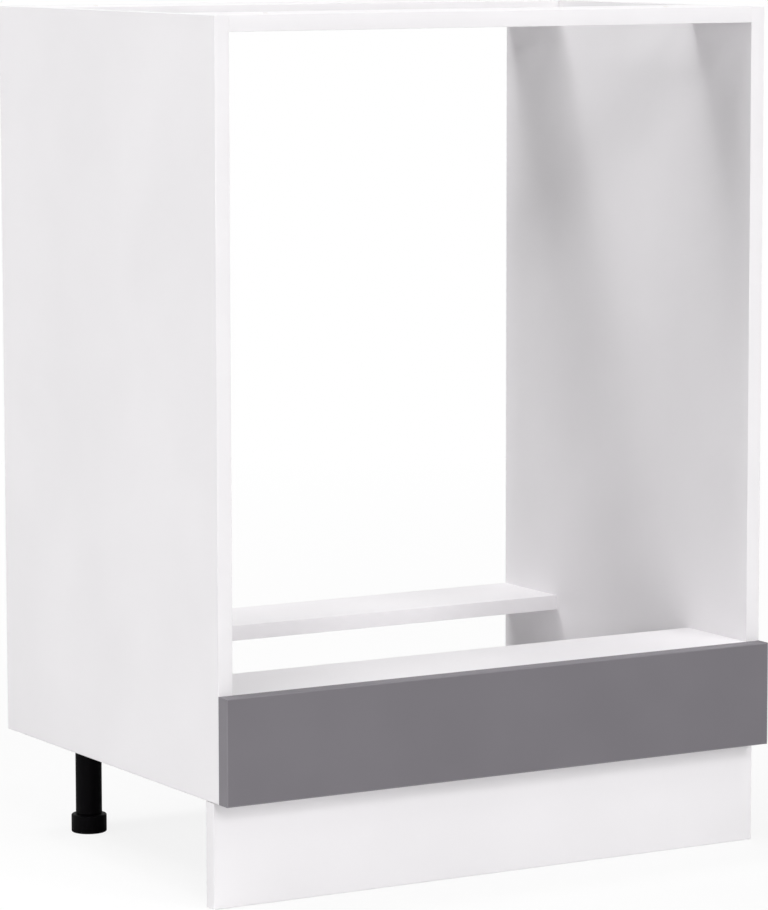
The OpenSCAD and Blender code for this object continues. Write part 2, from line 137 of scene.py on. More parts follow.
def bumpUp(tree, surface, heights):
    # heights is a list of (height, how deep it is in metres), laid one over another
    normal = None
    for height, depth in heights:
        inputs = {"Height": height, "Strength": 1.0, "Distance": depth}
        if normal:
            inputs["Normal"] = normal
        normal = firstOf(tree, "ShaderNodeBump", inputs)
    tree.links.new(normal, surface.inputs["Normal"])


def dress(tree, surface, colour, roughness):
    # patterns for the surface's colour and for its roughness
    tree.links.new(colour, surface.inputs["Base Color"])
    tree.links.new(roughness, surface.inputs["Roughness"])


def tones(tree, share, look):
    # between the dark and the light tone of a look
    return mixed(tree, share, linear(look["dark"]), linear(look["light"]))


cloudBand = (0.35, 0.65)             # what part of a noise the tones of a pattern run over
grainBand = (0.3, 0.7)               # and what part of it a roughness runs over
whiteMelamine = {
    "light": (241, 239, 241), "dark": (238, 236, 238), "cloud": 140 * mm,
    "roughness": (0.36, 0.46), "mottle": 5 * mm, "gloss": 0.4,
    "pearl": 0.7 * mm, "pearlDepth": 0.012 * mm, "wave": 16 * mm, "waveDepth": 0.02 * mm,
}
greyMelamine = {
    "light": (118, 115, 120), "dark": (115, 112, 117), "cloud": 110 * mm,
    "roughness": (0.40, 0.50), "mottle": 5 * mm, "gloss": 0.25,
    "pearl": 0.6 * mm, "pearlDepth": 0.016 * mm, "wave": 16 * mm, "waveDepth": 0.015 * mm,
}
edgingGrain = {
    "cloud": 60 * mm, "mottle": 3 * mm, "pearl": 0.4 * mm, "pearlDepth": 0.006 * mm, "wave": 9 * mm,
    "waveDepth": 0.01 * mm,
}
# a shade darker than the white board it matches: painted shade that holds down the front edges, which the
# front lamps light more than the plinth
whiteEdgingPaintedShade = {
    **edgingGrain, "light": (235, 233, 235), "dark": (233, 231, 233), "roughness": (0.30, 0.38),
    "gloss": 0.4,
}
greyEdging = {
    **edgingGrain, "light": (136, 133, 138), "dark": (133, 130, 135), "roughness": (0.52, 0.62),
    "gloss": 0.08,
}


def makeCoated(name, look):
    # melamine paper or edging: a faint pearl grain over a board that is never quite flat
    material, tree, surface, place = newMaterial(name)
    cloud = remap(tree, noise(tree, place, look["cloud"]), *cloudBand, 0, 1)
    mottle = remap(tree, noise(tree, place, look["mottle"]), *grainBand, *look["roughness"])
    dress(tree, surface, tones(tree, cloud, look), mottle)
    surface.inputs["Specular IOR Level"].default_value = look["gloss"]
    bumpUp(tree, surface, [(noise(tree, place, look["wave"], detail=1.0), look["waveDepth"]),
                           (noise(tree, place, look["pearl"], detail=3.0), look["pearlDepth"])])
    return material


chipboardLook = {
    "base": (196, 165, 118), "dark": (148, 112, 70), "pale": (222, 198, 152), "chip": 1.8 * mm,
    "fine": 0.5 * mm, "darkChips": (0.5, 0.8), "paleSpecks": (0.5, 0.7), "paleMost": 0.8,
    "depth": 0.12 * mm, "fineDepth": 0.06 * mm, "roughness": (0.75, 0.9),
}


def makeChipboard(name, look):
    # pressed wood chips, seen only where the board is drilled or cut
    material, tree, surface, place = newMaterial(name)
    distance, pick = cells(tree, place, look["chip"])
    base, dark, pale = [linear(look[name]) for name in ("base", "dark", "pale")]
    darker = mixed(tree, remap(tree, pick, *look["darkChips"], 0, 1), base, dark)
    fine = noise(tree, place, look["fine"], detail=3.0)
    speckled = mixed(tree, remap(tree, fine, *look["paleSpecks"], 0, look["paleMost"]), darker, pale)
    dress(tree, surface, speckled, remap(tree, fine, *grainBand, *look["roughness"]))
    bumpUp(tree, surface, [(distance, look["depth"]), (fine, look["fineDepth"])])
    return material


blackPlastic = {
    "light": (13, 12, 14), "dark": (8, 7, 9), "flow": 26 * mm, "drawnOut": 4, "roughness": (0.46, 0.6),
    "grain": 0.5 * mm, "grainDepth": 0.02 * mm, "gloss": 0.05,
}


def makePlastic(name, look):
    # moulded plastic: spark-eroded grain, with the tone drawn out where the melt flowed
    material, tree, surface, place = newMaterial(name)
    along = stretched(tree, place, 1, 1, look["drawnOut"])
    flow = remap(tree, noise(tree, along, look["flow"]), *cloudBand, 0, 1)
    grain = noise(tree, place, look["grain"], detail=3.0)
    dress(tree, surface, tones(tree, flow, look), remap(tree, grain, *grainBand, *look["roughness"]))
    surface.inputs["Specular IOR Level"].default_value = look["gloss"]
    bumpUp(tree, surface, [(grain, look["grainDepth"])])
    return material


zincPlated = {
    "light": (222, 225, 230), "dark": (196, 202, 212), "spangle": 2.4 * mm, "roughness": (0.26, 0.42),
    "streak": 0.25 * mm, "streakDepth": 0.006 * mm,
}
dieCast = {
    "light": (206, 206, 208), "dark": (178, 178, 182), "spangle": 1.6 * mm, "roughness": (0.42, 0.6),
    "streak": 0.35 * mm, "streakDepth": 0.02 * mm,
}
crystalDulling = 0.3                 # how much a crystal's tone adds to the roughness of the skin
metalBand = (0.4, 0.9)               # and what part of the two together the roughness runs over


def makeMetal(name, look):
    # zinc: faint crystals of differing tone, and the skin of rolling or casting
    material, tree, surface, place = newMaterial(name)
    pick = cells(tree, place, look["spangle"])[1]
    skin = noise(tree, place, look["streak"], detail=3.0)
    dulled = calc(tree, "ADD", skin, calc(tree, "MULTIPLY", pick, crystalDulling))
    dress(tree, surface, tones(tree, pick, look), remap(tree, dulled, *metalBand, *look["roughness"]))
    surface.inputs["Metallic"].default_value = 1.0
    bumpUp(tree, surface, [(skin, look["streakDepth"])])
    return material


beechLook = {
    "light": (226, 196, 152), "dark": (200, 162, 116), "fleck": (160, 114, 74), "fleckEdge": (0.12, 0.2),
    "fleckMost": 0.8, "flecks": 0.7, "grain": 0.5 * mm, "alongGrain": 14, "depth": 0.03 * mm,
    "roughness": (0.55, 0.7),
}


def makeBeech(name, look):
    # grain along X, the way every dowel lies, with the short dark flecks of beech
    material, tree, surface, place = newMaterial(name)
    along = stretched(tree, place, look["alongGrain"], 1, 1)
    grain = noise(tree, along, look["grain"], detail=4.0)
    wood = tones(tree, remap(tree, grain, *cloudBand, 0, 1), look)
    flecks = addNode(tree, "ShaderNodeTexVoronoi", {"Vector": along, "Scale": look["flecks"] / look["grain"]})
    speck = remap(tree, flecks.outputs["Distance"], *look["fleckEdge"], look["fleckMost"], 0)
    roughness = remap(tree, grain, *grainBand, *look["roughness"])
    dress(tree, surface, mixed(tree, speck, wood, linear(look["fleck"])), roughness)
    bumpUp(tree, surface, [(grain, look["depth"])])
    return material


finishes = {
    "white_board": makeCoated("White melamine", whiteMelamine),
    "grey_board": makeCoated("Grey melamine", greyMelamine),
    "white_edging": makeCoated("White edging", whiteEdgingPaintedShade),
    "grey_edging": makeCoated("Grey edging", greyEdging),
    "black_plastic": makePlastic("Black plastic", blackPlastic),
    "zinc_steel": makeMetal("Zinc plated steel", zincPlated),
    "die_cast_zinc": makeMetal("Die-cast zinc", dieCast),
    "beech": makeBeech("Beech", beechLook),
}
chipboard = makeChipboard("Chipboard", chipboardLook)
print("stage: materials made,", len(bpy.data.materials))


# Meshes and pieces

def camel(node):
    first, *rest = node.split("_")
    return first + "".join(word.capitalize() for word in rest)


def bodyOf(node):
    return next(body for body, members in bodies.items() if node in members)


def newPiece(name, data):
    piece = bpy.data.objects.new(name, data)
    bpy.context.scene.collection.objects.link(piece)
    return piece


def meshFrom(shape, name):
    bmesh.ops.recalc_face_normals(shape, faces=shape.faces)
    mesh = bpy.data.meshes.new(name)
    shape.to_mesh(mesh)
    shape.free()
    return mesh


def baked(piece):
    # the piece's mesh with every modifier applied
    bpy.context.view_layer.update()
    mesh = bpy.data.meshes.new_from_object(piece.evaluated_get(bpy.context.evaluated_depsgraph_get()))
    piece.modifiers.clear()
    piece.data = mesh
    return piece


def finishPiece(piece, node, slot, sharpFrom=32):
    # smooth round its curves, sharp at its corners; it takes the node's place and rides on its body
    mesh = piece.data
    mesh.name = piece.name
    if not mesh.materials:
        mesh.materials.append(finishes[slot])
    mesh.polygons.foreach_set("use_smooth", [True] * len(mesh.polygons))
    mesh.set_sharp_from_angle(angle=math.radians(sharpFrom))
    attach(piece, bodyOf(node))
    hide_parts(node)


def boxOf(points):
    low = Vector([min(p[axis] for p in points) for axis in range(3)])
    high = Vector([max(p[axis] for p in points) for axis in range(3)])
    return low, high


def islandsOf(node):
    # the points of each separate solid of a node
    shape = bmesh.new()
    shape.from_mesh(frame["nodes"][node].data)
    bmesh.ops.remove_doubles(shape, verts=shape.verts, dist=weld)
    seen, islands = set(), []
    for start in shape.verts:
        if start in seen:
            continue
        seen.add(start)
        island = [start]
        for point in island:
            near = {edge.other_vert(point) for edge in point.link_edges} - seen
            seen |= near
            island.extend(near)
        islands.append([point.co.copy() for point in island])
    shape.free()
    return islands


def solidsOf(node):
    # each solid of a node of round fittings: its box, the axis it is round about, and its wider end
    solids = []
    for points in islandsOf(node):
        low, high = boxOf(points)
        size = high - low
        axis = min(range(3), key=lambda a: abs(size[(a + 1) % 3] - size[(a + 2) % 3]))
        solids.append({"low": low, "high": high, "axis": axis, "wideEnd": wideEnd(points, low, high, axis)})
    return sorted(solids, key=lambda solid: tuple(round(value, 4) for value in solid["low"]))


def wideEnd(points, low, high, axis):
    # 1 if the solid is wider at the high end of its axis, -1 if at the low end
    middle = (low + high) / 2
    nearEnd = (high[axis] - low[axis]) * endShare
    reach = {}
    for sign, end in ((1, high[axis]), (-1, low[axis])):
        rim = [p for p in points if abs(p[axis] - end) < nearEnd]
        reach[sign] = max(sum((p[a] - middle[a]) ** 2 for a in range(3) if a != axis) for p in rim)
    return 1 if reach[1] >= reach[-1] else -1


endShare = 0.12                      # how much of a fitting's length counts as its end
screwNodes = ("leg_plate_screws", "bracket_screws", "plinth_clip_screws")
hardware = {node: solidsOf(node) for node in ("dowels", "cams", "cam_bolts", *screwNodes)}
print("stage: hardware found,", sum(len(solids) for solids in hardware.values()), "pieces")


def unit(axis, sign=1):
    direction = Vector((0, 0, 0))
    direction[axis] = sign
    return direction


def pointSet(name, spots, edges=(), **vectors):
    # points, loose or joined by edges, that each carry vectors
    mesh = bpy.data.meshes.new(name)
    mesh.from_pydata([tuple(spot) for spot in spots], edges, [])
    for label, values in vectors.items():
        data = mesh.attributes.new(label, "FLOAT_VECTOR", "POINT").data
        for item, value in zip(data, values):
            item.vector = value
    return newPiece(name, mesh)


# Geometry trees

def newTree(name, **sizes):
    # a tree with named inputs; a size given as a word is a socket of that kind
    tree = bpy.data.node_groups.new(name, "GeometryNodeTree")
    tree.interface.new_socket("Geometry", in_out="INPUT", socket_type="NodeSocketGeometry")
    for label, value in sizes.items():
        kind = value if isinstance(value, str) else "Int" if isinstance(value, int) else "Float"
        entry = tree.interface.new_socket(label, in_out="INPUT", socket_type="NodeSocket" + kind)
        if not isinstance(value, str):
            entry.default_value = value
    tree.interface.new_socket("Geometry", in_out="OUTPUT", socket_type="NodeSocketGeometry")
    return tree, addNode(tree, "NodeGroupInput").outputs


def endTree(tree, geometry, material, where=True):
    real = firstOf(tree, "GeometryNodeRealizeInstances", {"Geometry": geometry})
    inputs = {"Geometry": real, "Selection": where, "Material": material}
    done = firstOf(tree, "GeometryNodeSetMaterial", inputs)
    addNode(tree, "NodeGroupOutput", {"Geometry": done})
    return tree


def growTree(piece, tree, **values):
    # runs the tree on the piece and keeps the result as its plain mesh
    modifier = piece.modifiers.new(tree.name, "NODES")
    modifier.node_group = tree
    for entry in tree.interface.items_tree:
        if entry.in_out == "INPUT" and entry.name in values:
            modifier[entry.identifier] = values[entry.name]
    return baked(piece)


def carried(tree, name):
    # a vector that the points carry
    return firstOf(tree, "GeometryNodeInputNamedAttribute", {"Name": name}, data_type="FLOAT_VECTOR")


def positionParts(tree):
    place = firstOf(tree, "GeometryNodeInputPosition")
    return addNode(tree, "ShaderNodeSeparateXYZ", {0: place}).outputs


def startRod(tree, given):
    # a plain rod along Z, and where each of its points is: its place, its angle and how far from an end
    inputs = {"Vertices": given["Around"], "Side Segments": given["Rings"], "Radius": given["Radius"],
              "Depth": given["Length"]}
    rod = firstOf(tree, "GeometryNodeMeshCylinder", inputs)
    x, y, z = positionParts(tree)
    half = calc(tree, "MULTIPLY", given["Length"], 0.5)
    fromEnd = calc(tree, "SUBTRACT", half, calc(tree, "ABSOLUTE", z))
    return rod, (x, y, z), calc(tree, "ARCTAN2", y, x), fromEnd


def endRod(tree, given, rod, place, radius):
    # moves each point of the rod's skin out or in to its new radius
    x, y, z = place
    share = calc(tree, "DIVIDE", radius, given["Radius"])
    inputs = {0: calc(tree, "MULTIPLY", x, share), 1: calc(tree, "MULTIPLY", y, share), 2: z}
    shaped = firstOf(tree, "ShaderNodeCombineXYZ", inputs)
    skin = firstOf(tree, "GeometryNodeSetPosition", {"Geometry": rod, "Position": shaped})
    return endTree(tree, skin, given["Finish"])


def makeStripTree():
    # edging: a flat band with its two outer edges rounded, along each edge of the given lines
    tree, given = newTree("Edging strips", Board=15 * mm, Strip=1 * mm, Round=0.8 * mm, Steps=4,
                          Finish="Material")
    lines = firstOf(tree, "GeometryNodeMeshToCurve", {"Mesh": given["Geometry"]})
    facing = firstOf(tree, "GeometryNodeSetCurveNormal", {"Curve": lines, "Normal": carried(tree, "outward")},
                     mode="FREE")
    inputs = {"Width": given["Strip"], "Height": given["Board"]}
    outline = firstOf(tree, "GeometryNodeCurvePrimitiveQuadrilateral", inputs)
    outer = calc(tree, "GREATER_THAN", positionParts(tree)[0], 0.0)
    radius = calc(tree, "MULTIPLY", outer, given["Round"])
    inputs = {"Curve": outline, "Count": given["Steps"], "Radius": radius}
    rounded = firstOf(tree, "GeometryNodeFilletCurve", inputs, mode="POLY")
    inputs = {"Curve": facing, "Profile Curve": rounded, "Fill Caps": True}
    band = firstOf(tree, "GeometryNodeCurveToMesh", inputs)
    whole = firstOf(tree, "GeometryNodeMergeByDistance", {"Geometry": band, "Distance": weld})
    return endTree(tree, whole, given["Finish"])


def makeDrillTree():
    # a board with its round holes, one at each drill point, as deep and as wide as the point says;
    # the coat goes on its two large faces
    tree, given = newTree("Drilled board", Drills="Object", Steps=48, Core="Material", Coat="Material",
                          Thin="Vector", Middle=0.0, Half=7.5 * mm, Edge=0.2 * mm)
    drills = addNode(tree, "GeometryNodeObjectInfo", {"Object": given["Drills"]}).outputs["Geometry"]
    bit = firstOf(tree, "GeometryNodeMeshCylinder", {"Vertices": given["Steps"], "Radius": 1.0, "Depth": 1.0})
    raw = firstOf(tree, "GeometryNodeSetMaterial", {"Geometry": bit, "Material": given["Core"]})
    turn = firstOf(tree, "FunctionNodeAlignRotationToVector", {"Vector": carried(tree, "axis")}, axis="Z")
    inputs = {"Points": drills, "Instance": raw, "Rotation": turn, "Scale": carried(tree, "size")}
    bits = firstOf(tree, "GeometryNodeInstanceOnPoints", inputs)
    drilled = firstOf(tree, "GeometryNodeMeshBoolean", {"Mesh 1": given["Geometry"], "Mesh 2": bits},
                      operation="DIFFERENCE", solver="EXACT")
    place = firstOf(tree, "GeometryNodeInputPosition")
    across = addNode(tree, "ShaderNodeVectorMath", {0: place, 1: given["Thin"]},
                     operation="DOT_PRODUCT").outputs["Value"]
    fromMiddle = calc(tree, "ABSOLUTE", calc(tree, "SUBTRACT", across, given["Middle"]))
    onFace = calc(tree, "GREATER_THAN", fromMiddle, calc(tree, "SUBTRACT", given["Half"], given["Edge"]))
    return endTree(tree, drilled, given["Coat"], onFace)


threadFlank = (0.1, 0.4)             # where a thread's flank starts and ends, as shares of its pitch


def makeThreadTree():
    # a threaded rod along Z: a cylinder whose skin rises and falls with the height and the angle,
    # and narrows to its tip at the lower end, unless Blunt is 1
    tree, given = newTree("Threaded rod", Radius=9 * mm, Thread=1.2 * mm, Pitch=4 * mm, Length=60 * mm,
                          Fade=3 * mm, Tip=1 * mm, Blunt=1.0, Around=48, Rings=120, Finish="Material")
    rod, place, angle, fromEnd = startRod(tree, given)
    phase = calc(tree, "SUBTRACT", calc(tree, "DIVIDE", place[2], given["Pitch"]),
                 calc(tree, "DIVIDE", angle, 2 * math.pi))
    wave = calc(tree, "PINGPONG", calc(tree, "FRACT", phase), 0.5)
    crest = remap(tree, wave, *threadFlank, 0.0, 1.0)
    fade = remap(tree, calc(tree, "DIVIDE", fromEnd, given["Fade"]), 0.0, 1.0, 0.0, 1.0)
    low = calc(tree, "SUBTRACT", 1.0, calc(tree, "MULTIPLY", crest, fade))
    radius = calc(tree, "SUBTRACT", given["Radius"], calc(tree, "MULTIPLY", given["Thread"], low))
    up = calc(tree, "ADD", place[2], calc(tree, "MULTIPLY", given["Length"], 0.5))
    fromTip = calc(tree, "DIVIDE", up, given["Tip"])
    taper = calc(tree, "MINIMUM", calc(tree, "ADD", fromTip, given["Blunt"]), 1.0)
    return endRod(tree, given, rod, place, calc(tree, "MULTIPLY", radius, taper))


def makeDowelTree():
    # a fluted dowel along Z with bevelled ends
    tree, given = newTree("Fluted dowel", Radius=4 * mm, Length=30 * mm, Flutes=18, Flute=0.25 * mm,
                          Bevel=1 * mm, Around=108, Rings=30, Finish="Material")
    rod, place, angle, fromEnd = startRod(tree, given)
    wave = calc(tree, "COSINE", calc(tree, "MULTIPLY", angle, given["Flutes"]))
    flute = calc(tree, "MULTIPLY", remap(tree, wave, 0.0, 1.0, 0.0, 1.0), given["Flute"])
    bevel = calc(tree, "MAXIMUM", calc(tree, "SUBTRACT", given["Bevel"], fromEnd), 0.0)
    radius = calc(tree, "SUBTRACT", calc(tree, "SUBTRACT", given["Radius"], flute), bevel)
    return endRod(tree, given, rod, place, radius)


def makeCopyTree():
    # one piece set down at every point, its Z along the point's axis and its X along the point's side
    tree, given = newTree("Placed copies", Piece="Object", Finish="Material")
    piece = addNode(tree, "GeometryNodeObjectInfo", {"Object": given["Piece"]}).outputs["Geometry"]
    inputs = {"Primary Axis": carried(tree, "axis"), "Secondary Axis": carried(tree, "side")}
    turn = firstOf(tree, "FunctionNodeAxesToRotation", inputs, primary_axis="Z", secondary_axis="X")
    inputs = {"Points": given["Geometry"], "Instance": piece, "Rotation": turn}
    copies = firstOf(tree, "GeometryNodeInstanceOnPoints", inputs)
    return endTree(tree, copies, given["Finish"])


stripTree, drillTree, threadTree = makeStripTree(), makeDrillTree(), makeThreadTree()
dowelTree, copyTree = makeDowelTree(), makeCopyTree()
print("stage: geometry trees made")


# Plain shapes that the pieces start from

def arc(x, y, radius, start, end, steps=6):
    # points on an arc, from one angle to another in degrees
    angles = [math.radians(start + (end - start) * i / steps) for i in range(steps + 1)]
    return [(x + radius * math.cos(a), y + radius * math.sin(a)) for a in angles]


smallRound, middleRound, largeRound = 32, 64, 96        # faces around a round part


def lathe(name, outline, steps=middleRound):
    # turns an outline of (radius, height) points about Z; a point on the axis closes the shape
    shape = bmesh.new()
    rows = []
    for radius, height in outline:
        count = steps if radius > weld else 1
        angles = [2 * math.pi * i / steps for i in range(count)]
        rows.append([shape.verts.new((radius * math.cos(a), radius * math.sin(a), height)) for a in angles])
    for row, after in zip(rows, rows[1:]):
        for i in range(steps):
            j = i + 1
            corners = [row[i % len(row)], row[j % len(row)], after[j % len(after)], after[i % len(after)]]
            shape.faces.new(list(dict.fromkeys(corners)))
    return newPiece(name, meshFrom(shape, name))


def peg(name, wide, low, high):
    # a round bar along Z, to cut a hole with
    return lathe(name, [(0, low), (wide / 2, low), (wide / 2, high), (0, high)], smallRound)


def loft(name, rows):
    # rings of points, each joined to the next, and both ends closed
    shape = bmesh.new()
    rings = [[shape.verts.new(point) for point in row] for row in rows]
    for ring, after in zip(rings, rings[1:]):
        for i in range(len(ring)):
            shape.faces.new((ring[i - 1], ring[i], after[i], after[i - 1]))
    shape.faces.new(rings[0])
    shape.faces.new(rings[-1])
    return newPiece(name, meshFrom(shape, name))


def roundedBox(halfX, halfY, corner, steps):
    # a rectangle about the middle with round corners, anticlockwise
    x, y = halfX - corner, halfY - corner
    return [point for i, (a, b) in enumerate(((1, -1), (1, 1), (-1, 1), (-1, -1)))
            for point in arc(a * x, b * y, corner, 90 * i - 90, 90 * i, steps)]


shortMitre = 0.5                     # keeps the shift at a sharp corner from running far


def inset(outline, by):
    # the outline, which runs anticlockwise, drawn inwards
    drawn = []
    for i, point in enumerate(outline):
        before = (Vector(point) - Vector(outline[i - 1])).normalized()
        after = (Vector(outline[(i + 1) % len(outline)]) - Vector(point)).normalized()
        mitre = Vector((-before.y - after.y, before.x + after.x))
        drawn.append(Vector(point) + mitre * by * 2 / max(mitre.length_squared, shortMitre))
    return drawn


def prism(name, outline, low, high, bevel):
    # an outline in X and Y drawn up from low to high, with its two rims bevelled
    drawn = inset(outline, bevel)
    levels = [(drawn, low), (outline, low + bevel), (outline, high - bevel), (drawn, high)]
    return loft(name, [[(point[0], point[1], z) for point in points] for points, z in levels])


def moved(piece, *steps):
    # each step is a Matrix, or a place to move to
    for step in steps:
        piece.data.transform(step if isinstance(step, Matrix) else Matrix.Translation(step))
    piece.data.update()
    return piece


def turned(degrees, axis):
    return Matrix.Rotation(math.radians(degrees), 4, axis)


def combine(piece, operation, *others):
    # an exact union or difference with helpers, which are used up
    for other in others:
        modifier = piece.modifiers.new(other.name, "BOOLEAN")
        modifier.operation = operation
        modifier.solver = "EXACT"
        modifier.object = other
    baked(piece)
    for other in others:
        bpy.data.objects.remove(other)
    return piece


bitSizes = {"over": 0.2, "end": 0.62}                   # how far it stands out, and how wide its end is


def crossBit(name, arm, width, depth):
    # the cutter of a cross recess, wide at its base and narrower where it ends
    quarter = [(arm / 2, width / 2), (width / 2, width / 2), (width / 2, arm / 2)]
    corners = [turned(90 * i, "Z") @ Vector((x, y, 0)) for i in range(4) for x, y in quarter]
    levels = ((1.0, -depth * bitSizes["over"]), (1.0, 0.0), (bitSizes["end"], depth))
    return loft(name, [[(c.x * share, c.y * share, z) for c in corners] for share, z in levels])


# Boards: a core with its two coated faces, drilled wherever a fitting or a screw reaches into it

boards = {                           # with the axis that each is thin along
    "left_side_board": 0, "right_side_board": 0, "bottom_board": 2, "top_front_rail": 2, "top_rear_rail": 2,
    "front_oven_board": 2, "rear_oven_board": 2, "front_panel": 1, "plinth_board": 1,
}
boardSizes = {"bevel": 0.12 * mm, "overcut": 0.5 * mm, "reach": 1 * mm}
drillRadius = {                      # in a board between the sides, and in an upright one
    "dowels": (4.05 * mm, 4.05 * mm), "cams": (7.55 * mm, 7.55 * mm), "cam_bolts": (4 * mm, 2.55 * mm),
}
screwRadius = (1.8 * mm, 1.8 * mm)


def overlaps(low, high, solid):
    return all(min(high[a], solid["high"][a]) - max(low[a], solid["low"][a]) > boardSizes["reach"]
               for a in range(3))


def worktopHoles(low, high):
    # the worktop's screw holes, which the record gives as a mount
    mount = next(m for m in frame["record"]["mounts"] if m["name"] == "worktop_screws")
    x, y, z = mount["pos_m"]
    size = {name: value * mm for name, value in mount["dims"].items()}
    halfX, halfY = size["spacing_x_mm"] / 2, size["spacing_y_mm"] / 2
    spots = [(x + i * halfX, y + j * halfY) for i in (-1, 1) for j in (-1, 1)]
    if not low.z < z - boardSizes["reach"] < high.z:
        return []
    return [(Vector((*spot, (low.z + high.z) / 2)), size["hole_r_mm"]) for spot in spots
            if low.x < spot[0] < high.x and low.y < spot[1] < high.y]


def drillPoints(node, thin):
    low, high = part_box(node)
    overcut = 2 * boardSizes["overcut"]
    holes = [(spot, 2, radius, high.z - low.z + overcut) for spot, radius in worktopHoles(low, high)]
    for name, solids in hardware.items():
        radius = drillRadius.get(name, screwRadius)[0 if thin == 2 else 1]
        for solid in filter(lambda s: overlaps(low, high, s), solids):
            axis = solid["axis"]
            middle = (solid["low"] + solid["high"]) / 2
            holes.append((middle, axis, radius, solid["high"][axis] - solid["low"][axis] + overcut))
    return pointSet(node + "_drills", [hole[0] for hole in holes], axis=[unit(hole[1]) for hole in holes],
                    size=[Vector((hole[2], hole[2], hole[3])) for hole in holes])


def boardBlank(name, low, high):
    shape = bmesh.new()
    bmesh.ops.create_cube(shape, size=1.0)
    for corner in shape.verts:
        corner.co = Vector([(low[a] + high[a]) / 2 + corner.co[a] * (high[a] - low[a]) for a in range(3)])
    bmesh.ops.bevel(shape, geom=shape.edges[:], offset=boardSizes["bevel"], segments=1, affect="EDGES")
    piece = newPiece(name, meshFrom(shape, name))
    piece.data.materials.append(chipboard)
    return piece


for node, thin in boards.items():
    slot = "grey_board" if node == "front_panel" else "white_board"
    low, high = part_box(node)
    piece = boardBlank(camel(node), low, high)
    drills = drillPoints(node, thin)
    growTree(piece, drillTree, Drills=drills, Core=chipboard, Coat=finishes[slot], Thin=tuple(unit(thin)),
             Middle=(low[thin] + high[thin]) / 2, Half=(high[thin] - low[thin]) / 2)
    bpy.data.objects.remove(drills)
    finishPiece(piece, node, slot)
print("stage: boards drilled,", len(boards))


# Edging: a strip along each edge of a board that shows

edgings = [node for node in frame["nodes"] if node.endswith("_edging")]
edgingSizes = {"Round": 0.4 * mm, "Steps": 3}           # by the names of the tree's inputs


def edgingLines(node):
    # the middle line of each strip, with the way that the strip faces
    boxes = [boxOf(points) for points in islandsOf(node)]
    low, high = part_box(node)
    middle = (low + high) / 2
    points, facing = [], []
    for stripLow, stripHigh in boxes:
        size = stripHigh - stripLow
        along, thin = max(range(3), key=lambda a: size[a]), min(range(3), key=lambda a: size[a])
        centre = (stripLow + stripHigh) / 2
        outward = unit(thin, 1 if centre[thin] > middle[thin] else -1)
        for end in (stripLow, stripHigh):
            points.append(centre + unit(along) * (end[along] - centre[along]))
            facing.append(outward)
    lines = [(i, i + 1) for i in range(0, len(points), 2)]
    thick, wide = sorted(boxes[0][1] - boxes[0][0])[:2]
    return pointSet(camel(node), points, lines, outward=facing), thick, wide


for node in edgings:
    slot = "grey_edging" if node.startswith("front_panel") else "white_edging"
    # the white edging's darker tone is painted shade; the plinth's edging takes the board's own white
    finish = finishes["white_board" if node.startswith("plinth") else slot]     # the plinth is all one white
    piece, thick, wide = edgingLines(node)
    growTree(piece, stripTree, Board=wide, Strip=thick, Finish=finish, **edgingSizes)
    finishPiece(piece, node, slot, sharpFrom=40)
print("stage: edging laid,", len(edgings), "boards edged")


# Screws, cam bolts, cams and dowels: one of each is made, with its head up, and set down at every place

screwSizes = {
    "long": 13 * mm, "wide": 3.5 * mm, "thread": 0.5 * mm, "pitch": 1.25 * mm, "fade": 1.2 * mm,
    "tip": 2.5 * mm, "blunt": 0.08, "around": 20, "rings": 56, "sunk": 0.3 * mm, "head": 7 * mm,
    "headHigh": 2.2 * mm, "dome": 2.2, "domeRings": (0, 0.3, 0.6, 0.85), "rimUp": 0.45, "rimRound": 0.15,
    "bevel": 0.15 * mm, "recess": 4 * mm, "slot": 1.1 * mm, "recessDeep": 1.3 * mm,
}
boltSizes = {
    "head": 7 * mm, "headHigh": 3 * mm, "neck": 4.6 * mm, "neckHigh": 3 * mm, "shank": 6 * mm,
    "shankEnd": 24 * mm, "bevel": 0.4 * mm, "long": 35 * mm, "wide": 5 * mm, "thread": 0.5 * mm,
    "pitch": 1.6 * mm, "fade": 1 * mm, "tip": 1.5 * mm, "blunt": 0.6, "around": 24, "rings": 48,
    "sunk": 0.5 * mm,
}
camSizes = {
    "wide": 15 * mm, "high": 11.5 * mm, "bevel": 0.5 * mm, "slot": 8 * mm, "slotUp": 7.5 * mm,
    "recess": 9 * mm, "recessWide": 1.6 * mm, "recessDeep": 1.5 * mm,
}
dowelSizes = {
    "wide": 8 * mm, "long": 30 * mm, "flutes": 18, "flute": 0.3 * mm, "bevel": 1 * mm, "perFlute": 3,
    "rings": 30,
}
turnEach = {"screws": 2.4, "bolts": 0.0, "dowels": 1.1}         # radians from one to the next


def threadedRod(name, size, length):
    rod = newPiece(name, bpy.data.meshes.new(name))
    labels = ("Thread", "Pitch", "Fade", "Tip", "Blunt", "Around", "Rings")
    values = {label: size[label.lower()] for label in labels}
    return growTree(rod, threadTree, Length=length, Radius=size["wide"] / 2, **values)


def makeScrew(size):
    head, high, bevel = size["head"] / 2, size["headHigh"], size["bevel"]
    top = (size["long"] + high) / 2
    seat = top - high
    crown = head * size["dome"]                         # radius of the head's domed top
    rings = [head * share for share in size["domeRings"]]
    dome = [(r, top - crown + math.sqrt(crown ** 2 - r ** 2)) for r in rings]
    rim = arc(rings[-1], seat + high * size["rimUp"], head * size["rimRound"], 60, 0, 3)
    outline = [*dome, *rim, (head, seat + bevel), (head - bevel, seat), (0, seat)]
    blank = lathe("screwHead", outline, smallRound)
    length = size["long"] + size["sunk"]
    shank = threadedRod("screwShank", size, length)
    moved(shank, (0, 0, seat + size["sunk"] - length / 2))
    bit = crossBit("screwRecess", size["recess"], size["slot"], size["recessDeep"])
    moved(bit, turned(180, "X"), (0, 0, top))
    return combine(combine(blank, "UNION", shank), "DIFFERENCE", bit)


